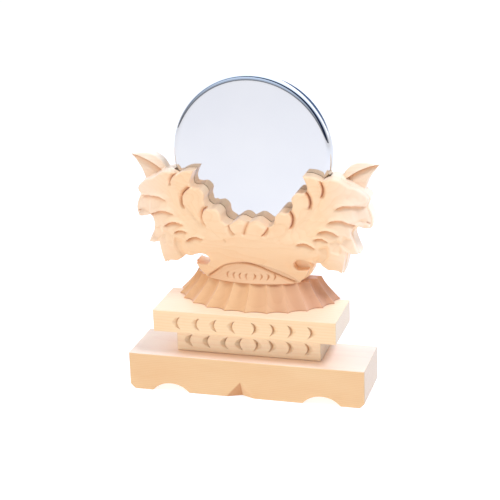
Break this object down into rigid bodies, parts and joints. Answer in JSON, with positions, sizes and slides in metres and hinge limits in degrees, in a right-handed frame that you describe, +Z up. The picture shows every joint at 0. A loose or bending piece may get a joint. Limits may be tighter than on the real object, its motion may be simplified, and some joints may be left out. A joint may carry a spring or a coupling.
{
  "type": "stand mirror",
  "caption": "Round polished metal mirror standing in the slot of a carved pale-wood cloud stand, which rises from a fluted skirt, stepped slabs and a footed base.",
  "frame": {"origin": "middle of the base's underside, at table height", "axes": "+X to the right seen from the front, +Y towards the flat back, +Z up; the mirror's face looks towards -Y"},
  "size_m": [0.1178, 0.0308, 0.1479],
  "materials": {
    "pale_wood": "planed and unvarnished",
    "skirt_wood": "end-grain flutes, unvarnished",
    "dowel_wood": "turned",
    "polished_metal": "mirror polish"
  },
  "bodies": {
    "stand": {"base": "pale_wood", "lower_slab": "pale_wood", "upper_slab": "pale_wood", "fluted_skirt": "skirt_wood", "dowel_left": "dowel_wood", "dowel_right": "dowel_wood", "front_board": "pale_wood", "rear_board": "pale_wood"},
    "mirror": {"mirror": "polished_metal"}
  },
  "joints": [
    {"name": "mirror_lift", "type": "slide", "parent": "stand", "child": "mirror", "axis": [0, 0, 1], "range_m": [0, 0.045]}
  ]
}
